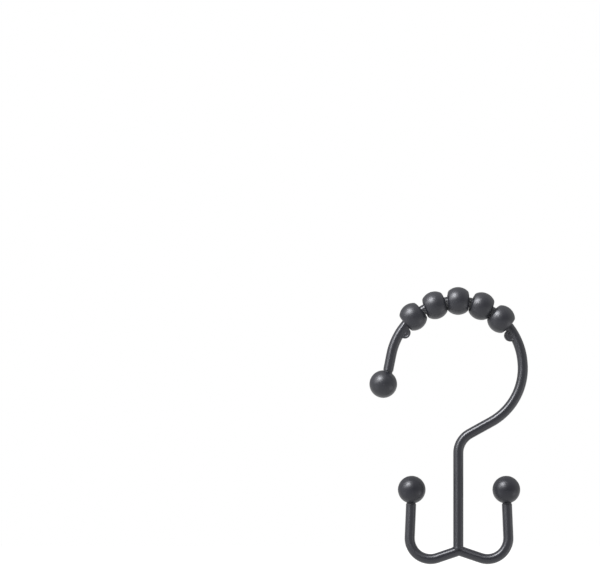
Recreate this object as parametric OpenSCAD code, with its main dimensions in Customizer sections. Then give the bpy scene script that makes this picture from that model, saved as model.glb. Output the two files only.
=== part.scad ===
// Shower curtain hook with two curtain seats and a row of roller beads.
// It hangs in the plane y = 0. The origin is the middle of the rod that the
// large arc goes round, +Z is up and the tip of the hook is on the -X side.

/* [Wire] */
// Diameter of the two bent wires
wire_d = 3.5; // [3:0.1:3.8]
// Rounding on the rim of each wire end
wire_end_r = 0.15; // [0.1:0.05:0.4]

/* [Hook] */
// Radius of the large arc over the rod, along the middle of the wire
arc_r = 22.8; // [21.5:0.1:26]
// Direction, seen from the rod, in which the arc runs out into the tip arm
arc_tip_angle = 168.8; // [164:0.2:176]
// Length of the straight tip arm, with its rounded end
tip_arm_length = 5.6; // [3:0.1:9]
// Direction, seen from the rod, in which the large arc ends on the right
lower_arc_start = 5; // [-20:1:10]
// Length of the short straight between the large arc and the lower one
blend_length = 0.4; // [0.3:0.1:3]
// Radius of the tighter arc on the lower right
lower_arc_r = 21; // [18:0.1:22.5]
// Direction in which the tighter arc runs out into the diagonal
lower_arc_end = -61; // [-66:0.5:-54]
// Radius of the bend between the diagonal and the stem
stem_bend_r = 7.6; // [5:0.1:12]
// Place of the stem, to the right of the middle of the rod
stem_x = 0.65; // [-1.5:0.05:2]
// Height of the stem's foot above the middle line of the cross wire
foot_rise = 0.7; // [0.3:0.05:1]
// How far the weld at the foot stands out all round the stem
weld_flare = 0.3; // [0.1:0.05:0.5]

/* [Curtain seats] */
// Drop from the middle of the rod to the middle of the U bends
seat_drop = 58.65; // [54:0.2:80]
// Distance from the peak of the cross wire to the middle of each U bend
seat_reach = 9.8; // [9:0.1:14]
// Radius of the U bends, along the middle of the wire
seat_r = 7.15; // [6:0.05:8]
// Rise of the middle of each hook ball above the middle of its U bend
seat_ball_rise = 16.7; // [13:0.2:24]
// Lean of the two short arms towards the stem, in degrees
arm_lean = 2.4; // [0:0.1:5]
// Slope of the straights that rise to the peak, in degrees
peak_slope = 18.7; // [12:0.1:24]
// Opening left on the inner side of the tight bend at the peak
peak_inner_r = 0.05; // [0.05:0.05:0.6]
// Place of the peak, to the right of the stem's middle
peak_shift = 0.25; // [-0.5:0.05:0.5]

/* [End balls] */
// Diameter of the three balls on the wire ends
ball_d = 9.5; // [8:0.1:11]
// Diameter of the weld neck between a wire end and its ball
neck_d = 3.1; // [2.4:0.1:3.2]
// Gap between a wire end and its ball that the weld fills
weld_gap = 0.1; // [0.05:0.05:0.4]
// How far the tip ball sits off the wire's middle line, away from the rod
tip_ball_shift = 0.75; // [0:0.05:1]

/* [Roller beads] */
// Diameter of the roller beads
bead_d = 9.6; // [9:0.1:10.5]
// Width of a bead at the mouths of its bore
bead_w = 7.4; // [6:0.02:7.5]
// Rounding where a bead's end faces meet its ball side
bead_edge_r = 1.3; // [0.3:0.05:2]
// Rounding on the mouths of the bore
bore_edge_r = 0.15; // [0.1:0.05:0.3]
// Least clearance between the bore and the bent wire
bead_clearance = 0.1; // [0.05:0.05:0.2]
// Gap between two neighbouring beads, whose end faces lie side by side
bead_gap = 0.03; // [0.02:0.01:0.3]
// Direction, seen from the rod, of the bead on the right
right_bead_angle = 47.35; // [44:0.05:50]
// Play between each bead and the next one, from left to right, as an angle
bead_play = [0.75, 0, 0.2, 0]; // [0:0.05:2]
// How far outside the wire's middle line each bead sits, from left to right
bead_offset = [0.1, -0.15, 0.1, 0, -0.15]; // [-0.2:0.05:0.2]

/* [Stops] */
// Diameter of the short stop pins on the inner side of the wire
stop_d = 4; // [3:0.1:4.4]
// Length of the stop pins across the plane of the hook
stop_w = 3; // [2.4:0.1:3.2]
// How far a stop stands out from the inner side of the wire
stop_stand = 1.6; // [1:0.1:1.8]
// Rounding on the edges of the stop pins
stop_edge_r = 0.35; // [0.1:0.05:0.5]
// Slack between the left stop and its bead
left_stop_gap = 0.06; // [0.05:0.01:0.8]
// Slack between the right stop and its bead
right_stop_gap = 0.4; // [0.05:0.01:1.2]

/* [Hidden] */
$fn = 96;
metal_colour = "dimgray";
bead_colour = "darkslategray";

// Straights are a hair thinner than bends and reach a little way into them
straight_d = wire_d - 0.01;
lap = 0.1;

// Where the tighter arc runs out, as x and z from the middle of the rod
function polar(radius, angle) = radius * [cos(angle), sin(angle)];
diagonal_start = polar(arc_r - lower_arc_r, lower_arc_start)
    + polar(blend_length, lower_arc_start - 90) + polar(lower_arc_r, lower_arc_end);

// The diagonal and the stem meet in a corner that the stem bend rounds off
stem_turn = -lower_arc_end;
diagonal_to_corner = (diagonal_start.x - stem_x) / sin(stem_turn);
stem_corner_z = diagonal_start.y - diagonal_to_corner * cos(stem_turn);
stem_bend_tangent = stem_bend_r * tan(stem_turn / 2);
diagonal_length = diagonal_to_corner - stem_bend_tangent;

// Cross wire, from the peak out to the hook ball
peak_r = wire_d / 2 + peak_inner_r;
peak_x = stem_x + peak_shift;
slope_length = (seat_reach - (peak_r + seat_r) * sin(peak_slope)) / cos(peak_slope);
peak_z = -seat_drop + peak_r * (1 - cos(peak_slope))
    + slope_length * sin(peak_slope) - seat_r * cos(peak_slope);
arm_to_ball = (seat_ball_rise - seat_r * sin(arm_lean)) / cos(arm_lean);
arm_length = arm_to_ball - ball_d / 2 - weld_gap;

// The foot of the stem sinks into the cross wire. The hollow curve of the weld
// starts where its outer side meets the slopes, this far below the wire's top
stem_length = stem_corner_z - stem_bend_tangent - peak_z - foot_rise;
weld_r = wire_d / 2 + weld_flare;
weld_drop = weld_r * tan(peak_slope) - (peak_r + wire_d / 2) * (1 / cos(peak_slope) - 1);
weld_height = wire_d / 2 - foot_rise - weld_drop + weld_flare;

// Bead: the wire bows away from the straight bore's middle line at its mouths
bead_bow = arc_r - sqrt(pow(arc_r, 2) - pow(bead_w / 2, 2));
bore_r = ceil(1000 * (wire_d / 2 + bead_bow + bead_clearance + max(bead_offset))) / 1000;

// Half the pitch of the beads is also the slope of their end faces, so that
// two neighbours on the bend lie side by side with bead_gap between them
bead_slope = atan2(bead_w / 2, arc_r - bore_r)
    + asin(bead_gap / 2 / norm([arc_r - bore_r, bead_w / 2]));
bead_pitch = 2 * bead_slope;

// End face of a bead: its normal, its distance from the middle of the bead,
// and the middle of the rounding at its outer edge
face_normal = [sin(bead_slope), cos(bead_slope)];
face_line = [cos(bead_slope), -sin(bead_slope)];
face_reach = bead_w / 2 * cos(bead_slope) + bore_r * sin(bead_slope);
face_edge = (face_reach - bead_edge_r) * face_normal
    + sqrt(pow(bead_d / 2 - bead_edge_r, 2) - pow(face_reach - bead_edge_r, 2)) * face_line;

// Middle of the rounding at the mouth of the bore, which stands out a little so
// that its arc crosses the face
mouth_lift = 0.005;
mouth_x = bore_r + bore_edge_r;
mouth = [
    mouth_x,
    (face_reach - bore_edge_r + mouth_lift - mouth_x * face_normal.x) / face_normal.y
];

// Bead number 1 is next to the left stop and number 5 next to the right one
function play_after(number) = number > 4 ? 0 : bead_play[number - 1] + play_after(number + 1);
function bead_angle(number) = right_bead_angle + (5 - number) * bead_pitch
    + play_after(number);

// Stops: the pin stands clear of the end face of the outermost bead
stop_path_r = arc_r - wire_d / 2 - stop_stand + stop_d / 2;
function stop_angle(gap) = bead_slope
    + asin((gap - bead_gap / 2 + stop_d / 2) / stop_path_r);
left_stop_angle = bead_angle(1) + stop_angle(left_stop_gap);
right_stop_angle = bead_angle(5) - stop_angle(right_stop_gap);

// Runs of wire: ["straight", length], ["arm", length] for a last straight with
// a rounded end and ["bend", radius, angle] with a positive angle to the left
tip_run = [["arm", tip_arm_length]];
hook_run = [
    ["bend", arc_r, lower_arc_start - arc_tip_angle],
    ["straight", blend_length],
    ["bend", lower_arc_r, lower_arc_end - lower_arc_start],
    ["straight", diagonal_length],
    ["bend", stem_bend_r, stem_turn],
    ["arm", stem_length]
];
peak_half = ["bend", peak_r, -peak_slope];
seat_run = [
    ["straight", slope_length],
    ["bend", seat_r, 90 + peak_slope + arm_lean],
    ["arm", arm_length]
];

// Part of a ring that starts at the origin, heads for +Y and turns left or right
module bend(radius, angle) {
    side = sign(angle);
    translate([-side * radius, 0, 0])
        rotate(side > 0 ? 0 : 180 + angle)
            rotate_extrude(angle = abs(angle))
                translate([radius, 0]) circle(d = wire_d);
}

// Half section of a last straight, rounded off at its free end
module arm_section(length) {
    core = straight_d / 2 - wire_end_r;
    square([core, length]);
    square([straight_d / 2, length - wire_end_r]);
    translate([core, length - wire_end_r]) circle(r = wire_end_r);
}

// Draws one step of a run
module step(s) {
    if (s[0] == "bend") bend(s[1], s[2]);
    translate([0, -lap, 0]) rotate([-90, 0, 0]) {
        if (s[0] == "straight") cylinder(d = straight_d, h = s[1] + 2 * lap);
        if (s[0] == "arm") rotate_extrude() arm_section(s[1] + lap);
    }
}

// Moves its children to the end of one step
module after_step(s) {
    side = s[0] == "bend" ? sign(s[2]) : 0;
    if (side == 0)
        translate([0, s[1], 0]) children();
    else
        translate([-side * s[1], 0, 0]) rotate(s[2])
            translate([side * s[1], 0, 0]) children();
}

// Draws a whole run, one step after the other
module wire_run(steps, i = 0) {
    if (i < len(steps)) {
        step(steps[i]);
        after_step(steps[i]) wire_run(steps, i + 1);
    }
}

// Moves its children to the end of a whole run
module after_run(steps, i = 0) {
    if (i < len(steps))
        after_step(steps[i]) after_run(steps, i + 1) children();
    else
        children();
}

// Stands a run up in the plane of the hook
module upright() {
    rotate([90, 0, 0]) children();
}

// Start of the tip arm, heading down along it
module at_tip_arm() {
    upright() rotate(arc_tip_angle) translate([arc_r, 0, 0]) children();
}

// End of the tight bend at the peak, heading down the slope on one side
module at_slope(side) {
    translate([peak_x, 0, peak_z])
        mirror([side < 0 ? 1 : 0, 0, 0])
            upright() rotate(-90) after_step(peak_half) children();
}

// Tight bend at the peak, with a slope and a seat on each side of it
module cross_shape() {
    at_slope(-1) {
        wire_run(seat_run);
        rotate(180) bend(peak_r, 2 * peak_slope);
    }
    at_slope(1) wire_run(seat_run);
}

// Half section of the weld round the foot of the stem, up from the foot
module weld_section() {
    difference() {
        square([weld_r, weld_height]);
        translate([weld_r, weld_height]) circle(r = weld_flare);
    }
}

// Large arc with the rounded tip arm on one end and the stem on the other,
// whose welded foot is cut to the cross wire
module hook_wire() {
    color(metal_colour) difference() {
        at_tip_arm() {
            wire_run(tip_run);
            rotate(180) {
                wire_run(hook_run);
                after_run(hook_run) rotate([90, 0, 0]) rotate_extrude() weld_section();
            }
        }
        cross_shape();
    }
}

module cross_wire() {
    color(metal_colour) cross_shape();
}

// Ball with its weld neck, on a wire end that points to +Y
module end_ball(shift) {
    translate([shift, weld_gap + ball_d / 2, 0]) sphere(d = ball_d);
    rotate([-90, 0, 0]) cylinder(d = neck_d, h = weld_gap + ball_d / 2);
}

module tip_ball() {
    color(metal_colour) at_tip_arm() after_run(tip_run) end_ball(tip_ball_shift);
}

module hook_ball(side) {
    color(metal_colour) at_slope(side) after_run(seat_run) end_ball(0);
}

module left_hook_ball() {
    hook_ball(-1);
}

module right_hook_ball() {
    hook_ball(1);
}

// Half section of a stop pin, with rounded edges
module stop_section() {
    flat = stop_w / 2 - stop_edge_r;
    translate([0, -stop_w / 2]) square([stop_d / 2 - stop_edge_r, stop_w]);
    translate([0, -flat]) square([stop_d / 2, 2 * flat]);
    for (z = [-flat, flat])
        translate([stop_d / 2 - stop_edge_r, z]) circle(r = stop_edge_r);
}

// The wire of the large arc with all that lies outside its middle line
module wire_and_beyond() {
    rotate_extrude() {
        translate([arc_r, 0]) circle(d = wire_d);
        translate([arc_r, -stop_w]) square([stop_d, 2 * stop_w]);
    }
}

// Short cross pin, cut to a saddle that fits the inner side of the large arc
module stop(angle) {
    color(metal_colour) upright() difference() {
        rotate(angle) translate([stop_path_r, 0, 0]) rotate_extrude() stop_section();
        wire_and_beyond();
    }
}

module left_stop() {
    stop(left_stop_angle);
}

module right_stop() {
    stop(right_stop_angle);
}

// Half section of the bore with its rounded mouths
module bore_section() {
    polygon([
        [-bead_d, -bead_w],
        [bore_r, -bead_w],
        [bore_r, bead_w],
        [-bead_d, bead_w]
    ]);
    for (side = [0, 1])
        mirror([0, side]) difference() {
            polygon([
                [-bead_d, mouth.y],
                mouth,
                mouth + bead_w * face_normal,
                [-bead_d, mouth.y + bead_w]
            ]);
            translate(mouth) circle(r = bore_edge_r);
        }
}

// Half section of a bead: ball side, two sloping end faces and the bore
module bead_section() {
    far = bead_d * face_edge / norm(face_edge);
    corner = face_edge + bead_edge_r * face_normal;
    top = face_reach / face_normal.y;
    difference() {
        union() {
            intersection() {
                circle(d = bead_d);
                polygon([[0, 0], [far.x, -far.y], far]);
            }
            polygon([
                [0, -top],
                [corner.x, -corner.y],
                [face_edge.x, -face_edge.y],
                face_edge,
                corner,
                [0, top]
            ]);
            for (side = [-1, 1])
                translate([face_edge.x, side * face_edge.y]) circle(r = bead_edge_r);
        }
        bore_section();
    }
}

module roller_bead(number) {
    color(bead_colour) upright() rotate(bead_angle(number))
        translate([arc_r + bead_offset[number - 1], 0, 0])
            rotate([90, 0, 0]) rotate_extrude() bead_section();
}

hook_wire();
cross_wire();
tip_ball();
left_hook_ball();
right_hook_ball();
left_stop();
right_stop();
roller_bead(1);  // roller_bead_1
roller_bead(2);  // roller_bead_2
roller_bead(3);  // roller_bead_3
roller_bead(4);  // roller_bead_4
roller_bead(5);  // roller_bead_5
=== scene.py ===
import math

import bpy
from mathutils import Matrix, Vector


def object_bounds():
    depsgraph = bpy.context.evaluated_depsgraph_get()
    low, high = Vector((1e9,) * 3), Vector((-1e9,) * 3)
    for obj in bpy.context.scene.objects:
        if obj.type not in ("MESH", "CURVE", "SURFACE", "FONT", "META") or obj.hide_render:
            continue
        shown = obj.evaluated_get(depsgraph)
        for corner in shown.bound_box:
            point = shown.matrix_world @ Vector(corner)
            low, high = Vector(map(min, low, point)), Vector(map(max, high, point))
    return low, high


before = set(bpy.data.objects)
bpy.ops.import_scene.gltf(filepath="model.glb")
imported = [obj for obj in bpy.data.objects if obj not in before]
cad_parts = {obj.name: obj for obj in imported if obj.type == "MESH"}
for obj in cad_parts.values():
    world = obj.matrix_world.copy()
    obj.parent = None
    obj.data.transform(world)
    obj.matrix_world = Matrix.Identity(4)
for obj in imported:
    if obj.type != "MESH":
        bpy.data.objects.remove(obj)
cadLow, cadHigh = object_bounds()
print("frame loaded:", len(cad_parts), "pieces")

scene = bpy.context.scene
scene.view_settings.view_transform = "Standard"
plainWhite = (1, 1, 1, 1)


# Small helpers for node trees

def addNode(tree, kind, place=(0, 0), **values):
    node = tree.nodes.new(kind)
    node.location = place
    for name, value in values.items():
        setattr(node, name, value)
    return node


def setInputs(node, values):
    for name, value in values.items():
        node.inputs[name].default_value = value
    return node


def addSockets(group, direction, kind, names):
    for name in names:
        group.interface.new_socket(name, in_out=direction, socket_type=kind)


# Satin black coat: one group gives every coat its colour, gloss and fine relief

coatLook = {
    "darkColour": (0.0095, 0.0100, 0.0155, 1),
    "lightColour": (0.0135, 0.0140, 0.0205, 1),
    "specularTint": (0.94, 0.95, 1.0, 1),
    "cloudScale": 160.0,          # slow drift of the coat's thickness, per metre
    "peelScale": 1700.0,          # orange peel of the baked coat
    "grainScale": 9000.0,         # pigment grain
    "grainInColour": 0.35,        # how much of the grain is added to the drift for the colour
    "grainInRelief": 0.25,        # and to the peel for the relief
    "colourSpan": (0.4, 0.95),    # where the colour starts to turn light, and where it is all light
    "roughnessDrift": 0.06,
    "peelHeight": 0.0000012,
    # Painted reflected light: the paler colour the coat is given in crevices, where light bounces between
    # neighbouring pieces
    "paintedCreviceLightColour": (0.165, 0.167, 0.176, 1),
    "paintedCreviceLightReach": 0.0016,       # how near another surface has to be for the painted bounce light in the crevice
    "paintedCreviceLightSpan": (0.72, 0.15),  # how open a place is where the painted light starts, and where it is full
    "paintedCreviceLightSamples": 8,
}


def buildCoatGroup():
    group = bpy.data.node_groups.new("satinCoatSurface", "ShaderNodeTree")
    addSockets(group, "INPUT", "NodeSocketFloat", ("Cloud Scale", "Peel Scale", "Grain Scale"))
    addSockets(group, "INPUT", "NodeSocketFloat", ("Roughness", "Roughness Drift"))
    addSockets(group, "INPUT", "NodeSocketColor", ("Dark Colour", "Light Colour"))
    addSockets(group, "OUTPUT", "NodeSocketColor", ("Colour",))
    addSockets(group, "OUTPUT", "NodeSocketFloat", ("Roughness", "Height"))

    ins = addNode(group, "NodeGroupInput", (-900, 0))
    outs = addNode(group, "NodeGroupOutput", (700, 0))
    coords = addNode(group, "ShaderNodeTexCoord", (-900, -300))

    cloud = setInputs(addNode(group, "ShaderNodeTexNoise", (-600, 300)), {"Detail": 3.0, "Roughness": 0.55})
    peel = setInputs(addNode(group, "ShaderNodeTexNoise", (-600, 0)), {"Detail": 2.0, "Roughness": 0.5})
    grain = setInputs(addNode(group, "ShaderNodeTexNoise", (-600, -300)), {"Detail": 1.0, "Roughness": 0.6})
    for texture, scale in ((cloud, "Cloud Scale"), (peel, "Peel Scale"), (grain, "Grain Scale")):
        group.links.new(coords.outputs["Object"], texture.inputs["Vector"])
        group.links.new(ins.outputs[scale], texture.inputs["Scale"])

    # Colour: the drift with some grain in it, spread between the dark and the light
    blend = addNode(group, "ShaderNodeMath", (-350, 300), operation="MULTIPLY_ADD")
    blend.inputs[1].default_value = coatLook["grainInColour"]
    group.links.new(grain.outputs["Fac"], blend.inputs[0])
    group.links.new(cloud.outputs["Fac"], blend.inputs[2])
    spread = addNode(group, "ShaderNodeMapRange", (-150, 300))
    setInputs(spread, dict(zip(("From Min", "From Max"), coatLook["colourSpan"])))
    group.links.new(blend.outputs[0], spread.inputs["Value"])
    colour = addNode(group, "ShaderNodeMix", (150, 300), data_type="RGBA")
    group.links.new(spread.outputs["Result"], colour.inputs["Factor"])
    group.links.new(ins.outputs["Dark Colour"], colour.inputs[6])
    group.links.new(ins.outputs["Light Colour"], colour.inputs[7])
    group.links.new(colour.outputs[2], outs.inputs["Colour"])

    # Gloss: the drift about its middle moves the roughness up and down
    drift = addNode(group, "ShaderNodeMath", (-150, 0), operation="SUBTRACT")
    drift.inputs[1].default_value = 0.5
    group.links.new(cloud.outputs["Fac"], drift.inputs[0])
    gloss = addNode(group, "ShaderNodeMath", (100, 0), operation="MULTIPLY_ADD")
    group.links.new(drift.outputs[0], gloss.inputs[0])
    group.links.new(ins.outputs["Roughness Drift"], gloss.inputs[1])
    group.links.new(ins.outputs["Roughness"], gloss.inputs[2])
    group.links.new(gloss.outputs[0], outs.inputs["Roughness"])

    # Relief: the peel with some grain on it
    relief = addNode(group, "ShaderNodeMath", (-150, -300), operation="MULTIPLY_ADD")
    relief.inputs[1].default_value = coatLook["grainInRelief"]
    group.links.new(grain.outputs["Fac"], relief.inputs[0])
    group.links.new(peel.outputs["Fac"], relief.inputs[2])
    group.links.new(relief.outputs[0], outs.inputs["Height"])
    return group


def layAlongWire(tree, place):
    # The wires bend in one plane, so their direction is square to the surface and to that plane's normal
    x, y = place
    surface = addNode(tree, "ShaderNodeNewGeometry", (x, y))
    toObject = addNode(tree, "ShaderNodeVectorTransform", (x + 180, y), vector_type="NORMAL",
                       convert_from="WORLD", convert_to="OBJECT")
    along = addNode(tree, "ShaderNodeVectorMath", (x + 360, y), operation="CROSS_PRODUCT")
    along.inputs[1].default_value = (0, 1, 0)
    toWorld = addNode(tree, "ShaderNodeVectorTransform", (x + 540, y), vector_type="VECTOR",
                      convert_from="OBJECT", convert_to="WORLD")
    tree.links.new(surface.outputs["Normal"], toObject.inputs[0])
    tree.links.new(toObject.outputs[0], along.inputs[0])
    tree.links.new(along.outputs[0], toWorld.inputs[0])
    return toWorld.outputs[0]


def paintLightIntoCrevices(tree, colour):
    # Painted bounce light: the coat is painted paler where two pieces nearly touch, in place of the light
    # reflected between them
    hidden = addNode(tree, "ShaderNodeAmbientOcclusion", (-700, 400), samples=coatLook["paintedCreviceLightSamples"])
    hidden.inputs["Distance"].default_value = coatLook["paintedCreviceLightReach"]
    crevice = addNode(tree, "ShaderNodeMapRange", (-500, 400), interpolation_type="SMOOTHSTEP")
    setInputs(crevice, dict(zip(("From Min", "From Max"), coatLook["paintedCreviceLightSpan"])))
    creviceLightMix = addNode(tree, "ShaderNodeMix", (-300, 300), data_type="RGBA")
    creviceLightMix.inputs[7].default_value = coatLook["paintedCreviceLightColour"]
    tree.links.new(hidden.outputs["AO"], crevice.inputs["Value"])
    tree.links.new(crevice.outputs["Result"], creviceLightMix.inputs["Factor"])
    tree.links.new(colour, creviceLightMix.inputs[6])
    return creviceLightMix.outputs[2]


def buildCoat(name, group, roughness, haze, hazeRoughness, lay=0.0, ior=1.5):
    coat = bpy.data.materials.new(name)
    coat.use_nodes = True
    tree = coat.node_tree
    shader = tree.nodes["Principled BSDF"]
    setInputs(shader, {
        "IOR": ior,
        "Metallic": 0.0,
        "Specular Tint": coatLook["specularTint"],
        "Coat Weight": haze,
        "Coat Roughness": hazeRoughness,
    })
    surface = setInputs(addNode(tree, "ShaderNodeGroup", (-700, 0), node_tree=group), {
        "Cloud Scale": coatLook["cloudScale"],
        "Peel Scale": coatLook["peelScale"],
        "Grain Scale": coatLook["grainScale"],
        "Dark Colour": coatLook["darkColour"],
        "Light Colour": coatLook["lightColour"],
        "Roughness": roughness,
        "Roughness Drift": coatLook["roughnessDrift"],
    })
    bump = addNode(tree, "ShaderNodeBump", (-300, -300))
    setInputs(bump, {"Distance": coatLook["peelHeight"], "Strength": 1.0})
    # The base colour carries painted bounce light in the crevices
    tree.links.new(paintLightIntoCrevices(tree, surface.outputs["Colour"]), shader.inputs["Base Color"])
    tree.links.new(surface.outputs["Roughness"], shader.inputs["Roughness"])
    tree.links.new(surface.outputs["Height"], bump.inputs["Height"])
    tree.links.new(bump.outputs["Normal"], shader.inputs["Normal"])
    if lay:
        shader.inputs["Anisotropic"].default_value = lay
        tree.links.new(layAlongWire(tree, (-900, -600)), shader.inputs["Tangent"])
    return coat


# Pressed ends of the stop pins: a small dimple inside a faint ring

pinEnd = {
    "angles": {"leftStopCoat": 146.01, "rightStopCoat": 30.72},  # places round the arc, in degrees
    "pathRadius": 0.02145,                                       # and how far from the arc's centre
    "dimpleRadius": 0.0004,
    "ringRadius": 0.00125,
    "ringWidth": 0.0003,
    "depth": 0.00016,
}


def buildPinEndGroup():
    group = bpy.data.node_groups.new("pressedPinEnd", "ShaderNodeTree")
    addSockets(group, "INPUT", "NodeSocketVector", ("Centre",))
    addSockets(group, "INPUT", "NodeSocketFloat", ("Dimple Radius", "Ring Radius", "Ring Width"))
    addSockets(group, "OUTPUT", "NodeSocketFloat", ("Height",))

    ins = addNode(group, "NodeGroupInput", (-900, 0))
    outs = addNode(group, "NodeGroupOutput", (500, 0))
    coords = addNode(group, "ShaderNodeTexCoord", (-1100, -300))
    flat = addNode(group, "ShaderNodeVectorMath", (-900, -300), operation="MULTIPLY")
    flat.inputs[1].default_value = (1, 0, 1)
    reach = addNode(group, "ShaderNodeVectorMath", (-700, -150), operation="DISTANCE")
    group.links.new(coords.outputs["Object"], flat.inputs[0])
    group.links.new(flat.outputs[0], reach.inputs[0])
    group.links.new(ins.outputs["Centre"], reach.inputs[1])

    dimple = addNode(group, "ShaderNodeMapRange", (-400, 200), interpolation_type="SMOOTHSTEP")
    group.links.new(reach.outputs["Value"], dimple.inputs["Value"])
    group.links.new(ins.outputs["Dimple Radius"], dimple.inputs["From Max"])

    offRing = addNode(group, "ShaderNodeMath", (-500, -150), operation="SUBTRACT")
    away = addNode(group, "ShaderNodeMath", (-350, -150), operation="ABSOLUTE")
    ring = addNode(group, "ShaderNodeMapRange", (-150, -150), interpolation_type="SMOOTHSTEP")
    group.links.new(reach.outputs["Value"], offRing.inputs[0])
    group.links.new(ins.outputs["Ring Radius"], offRing.inputs[1])
    group.links.new(offRing.outputs[0], away.inputs[0])
    group.links.new(away.outputs[0], ring.inputs["Value"])
    group.links.new(ins.outputs["Ring Width"], ring.inputs["From Max"])

    both = addNode(group, "ShaderNodeMath", (250, 0), operation="MULTIPLY")
    group.links.new(dimple.outputs["Result"], both.inputs[0])
    group.links.new(ring.outputs["Result"], both.inputs[1])
    group.links.new(both.outputs[0], outs.inputs["Height"])
    return group


def pressPinEnd(coat, group, angle):
    tree = coat.node_tree
    shader = tree.nodes["Principled BSDF"]
    fine = shader.inputs["Normal"].links[0].from_socket
    turn = math.radians(angle)
    radius = pinEnd["pathRadius"]
    press = setInputs(addNode(tree, "ShaderNodeGroup", (-700, -500), node_tree=group), {
        "Centre": (radius * math.cos(turn), 0, radius * math.sin(turn)),
        "Dimple Radius": pinEnd["dimpleRadius"],
        "Ring Radius": pinEnd["ringRadius"],
        "Ring Width": pinEnd["ringWidth"],
    })
    bump = addNode(tree, "ShaderNodeBump", (-120, -450))
    bump.inputs["Distance"].default_value = pinEnd["depth"]
    tree.links.new(press.outputs["Height"], bump.inputs["Height"])
    tree.links.new(fine, bump.inputs["Normal"])
    tree.links.new(bump.outputs["Normal"], shader.inputs["Normal"])


# The coats, and the pieces that wear them. Haze is a second, duller gloss over the first

coats = {
    "blackWireCoat": {"roughness": 0.33, "haze": 0.2, "hazeRoughness": 0.55, "lay": 0.9, "ior": 1.6},
    "blackHookBallCoat": {"roughness": 0.38, "haze": 0.18, "hazeRoughness": 0.55, "ior": 1.47},
    "blackBeadCoat": {"roughness": 0.38, "haze": 0.36, "hazeRoughness": 0.55},
}
stopCoat = {"roughness": 0.40, "haze": 0.7, "hazeRoughness": 0.6}
coatOfPiece = {
    "hook_wire": "blackWireCoat",
    "cross_wire": "blackWireCoat",
    "left_hook_ball": "blackHookBallCoat",
    "right_hook_ball": "blackHookBallCoat",
    "left_stop": "leftStopCoat",
    "right_stop": "rightStopCoat",
}
coatOfTheRest = "blackBeadCoat"     # the five beads and the tip ball

coatGroup = buildCoatGroup()
for name, values in coats.items():
    buildCoat(name, coatGroup, **values)
pinEndGroup = buildPinEndGroup()
for name, angle in pinEnd["angles"].items():
    pressPinEnd(buildCoat(name, coatGroup, **stopCoat), pinEndGroup, angle)

for name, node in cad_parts.items():
    node.data.materials.clear()
    node.data.materials.append(bpy.data.materials[coatOfPiece.get(name, coatOfTheRest)])
print("coats on", len(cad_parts), "pieces")


# Backdrop: white where the camera looks past the hook, and a softer room where a gloss does

studio = {
    "ambient": 0.45,
    "backdrop": 1.0,
    "frontLevel": 0.28,         # how bright the room behind the camera shows in a gloss
    "sideLevel": 0.9,           # the walls at the sides
    "rearLevel": 0.35,          # and the wall straight behind the hook
    "frontSpan": (-1.0, -0.1),  # depth of a direction where the front ends and the sides begin
    "rearSpan": (1.0, 0.2),     # and the same for the rear
    "floorDrop": 0.7,
    "floorSize": 12.0,
    "floorColour": (0.80, 0.80, 0.79, 1),
    "floorRoughness": 0.9,
    "floorLift": 0.8,           # added for the camera, so that the floor is as white as the room
    "floorGloss": 0.55,         # added for reflections
}


def roomLevel(room, cameraRay):
    # For a gloss the level follows the direction's depth, and the camera sees the plain backdrop
    heading = addNode(room, "ShaderNodeTexCoord", (-900, -300))
    parts = addNode(room, "ShaderNodeSeparateXYZ", (-700, -300))
    room.links.new(heading.outputs["Generated"], parts.inputs[0])
    dimmer = addNode(room, "ShaderNodeMath", (-350, -300), operation="MINIMUM")
    for end, side in enumerate(("front", "rear")):
        turn = addNode(room, "ShaderNodeMapRange", (-500, -200 - 250 * end))
        setInputs(turn, dict(zip(("From Min", "From Max"), studio[side + "Span"])))
        setInputs(turn, {"To Min": studio[side + "Level"], "To Max": studio["sideLevel"]})
        room.links.new(parts.outputs["Y"], turn.inputs["Value"])
        room.links.new(turn.outputs["Result"], dimmer.inputs[end])
    level = addNode(room, "ShaderNodeMix", (-250, -300), data_type="FLOAT")
    level.inputs[3].default_value = studio["backdrop"]
    room.links.new(cameraRay, level.inputs[0])
    room.links.new(dimmer.outputs[0], level.inputs[2])
    return level.outputs[0]


def buildRoom():
    world = bpy.data.worlds.new("studioRoom")
    scene.world = world
    world.use_nodes = True
    room = world.node_tree
    room.nodes.clear()
    path = addNode(room, "ShaderNodeLightPath", (-700, 200))
    seen = path.outputs["Is Camera Ray"]
    for step, kind in enumerate(("Is Glossy Ray", "Is Transmission Ray")):
        either = addNode(room, "ShaderNodeMath", (-500 + 200 * step, 200), operation="MAXIMUM")
        room.links.new(seen, either.inputs[0])
        room.links.new(path.outputs[kind], either.inputs[1])
        seen = either.outputs[0]
    ambient = addNode(room, "ShaderNodeBackground", (0, 100))
    setInputs(ambient, {"Color": plainWhite, "Strength": studio["ambient"]})
    shown = addNode(room, "ShaderNodeBackground", (0, -100))
    shown.inputs["Color"].default_value = plainWhite
    pick = addNode(room, "ShaderNodeMixShader", (250, 0))
    worldOut = addNode(room, "ShaderNodeOutputWorld", (450, 0))
    room.links.new(roomLevel(room, path.outputs["Is Camera Ray"]), shown.inputs["Strength"])
    room.links.new(seen, pick.inputs[0])
    room.links.new(ambient.outputs[0], pick.inputs[1])
    room.links.new(shown.outputs[0], pick.inputs[2])
    room.links.new(pick.outputs[0], worldOut.inputs[0])


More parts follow.
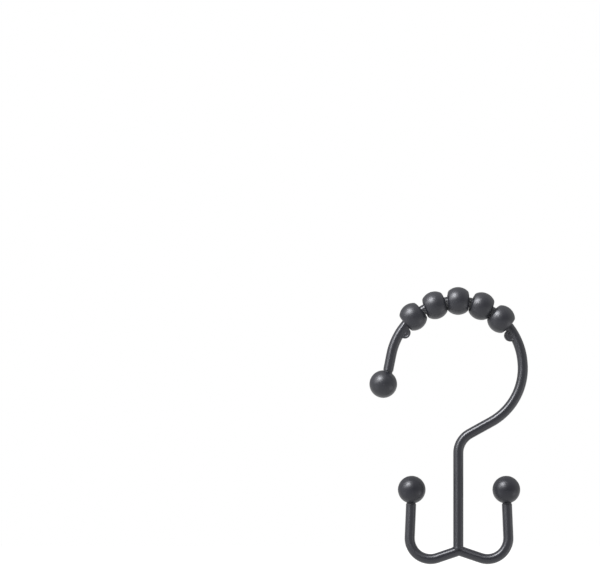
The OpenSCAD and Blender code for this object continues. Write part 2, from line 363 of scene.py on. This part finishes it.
def buildFloor():
    level = cadLow.z - studio["floorDrop"]
    bpy.ops.mesh.primitive_plane_add(size=studio["floorSize"], location=(0, 0, level))
    floor = bpy.context.object
    floor.name = "paleFloor"
    floorPaint = bpy.data.materials.new("paleFloorPaint")
    floorPaint.use_nodes = True
    tree = floorPaint.node_tree
    paint = tree.nodes["Principled BSDF"]
    setInputs(paint, {"Base Color": studio["floorColour"], "Roughness": studio["floorRoughness"]})
    path = addNode(tree, "ShaderNodeLightPath", (-500, -400))
    gloss = addNode(tree, "ShaderNodeMath", (-250, -500), operation="MULTIPLY")
    gloss.inputs[1].default_value = studio["floorGloss"]
    lift = addNode(tree, "ShaderNodeMath", (0, -400), operation="MULTIPLY_ADD")
    lift.inputs[1].default_value = studio["floorLift"]
    glow = addNode(tree, "ShaderNodeEmission", (250, -400))
    glow.inputs["Color"].default_value = plainWhite
    both = addNode(tree, "ShaderNodeAddShader", (450, -100))
    tree.links.new(path.outputs["Is Glossy Ray"], gloss.inputs[0])
    tree.links.new(path.outputs["Is Camera Ray"], lift.inputs[0])
    tree.links.new(gloss.outputs[0], lift.inputs[2])
    tree.links.new(lift.outputs[0], glow.inputs["Strength"])
    tree.links.new(paint.outputs[0], both.inputs[0])
    tree.links.new(glow.outputs[0], both.inputs[1])
    tree.links.new(both.outputs[0], tree.nodes["Material Output"].inputs[0])
    floor.data.materials.append(floorPaint)
    return floor


buildRoom()
floor = buildFloor()
print("backdrop and floor in place")


# Lamps: a soft key from the upper left with a weaker panel beside it, and a low panel on each side

hookMiddle = Vector((-0.003, 0, -0.020))
keyAim = (-0.495, -0.455, 0.742)
lamps = {
    "keyPanel": {"aim": keyAim, "distance": 0.60, "size": (0.24, 0.24), "watts": 3.1},
    "keyGloss": {"aim": keyAim, "distance": 0.62, "size": (0.34, 0.34), "watts": 2.6, "glossOnly": True},
    "upperLeftPanel": {"aim": (-0.84, -0.33, 0.43), "distance": 0.60, "size": (0.24, 0.24), "watts": 0.7},
    "leftPanel": {"aim": (-0.86, -0.32, -0.36), "distance": 0.60, "size": (0.20, 0.24), "watts": 0.15},
    "rightPanel": {"aim": (0.86, -0.26, -0.43), "distance": 0.60, "size": (0.20, 0.24), "watts": 0.25},
}


def addPanel(name, aim, distance, size, watts, glossOnly=False):
    light = bpy.data.lights.new(name, "AREA")
    light.shape = "RECTANGLE"
    light.size, light.size_y = size
    light.energy = watts
    lamp = bpy.data.objects.new(name, light)
    scene.collection.objects.link(lamp)
    lamp.location = hookMiddle + Vector(aim).normalized() * distance
    lamp.rotation_euler = (hookMiddle - lamp.location).to_track_quat("-Z", "Y").to_euler()
    lamp.visible_camera = False
    lamp.visible_diffuse = not glossOnly


for name, values in lamps.items():
    addPanel(name, **values)
print("lamps:", ", ".join(lamps))


# Camera: straight on, with the hook at the lower right of the picture

view = {
    "lens": 135.0,
    "fieldWidth": 0.2062,
    "centre": (-0.05375, 0.02925),
    "clipStart": 0.01,
}
camera = bpy.data.cameras.new("pictureCamera")
camera.lens = view["lens"]
camera.sensor_fit = "HORIZONTAL"
camera.clip_start = view["clipStart"]
cameraObject = bpy.data.objects.new("pictureCamera", camera)
scene.collection.objects.link(cameraObject)
distance = view["fieldWidth"] * view["lens"] / camera.sensor_width
cameraObject.location = (view["centre"][0], -distance, view["centre"][1])
cameraObject.rotation_euler = (math.radians(90), 0, 0)
scene.camera = cameraObject
print("camera at", [round(v, 4) for v in cameraObject.location])
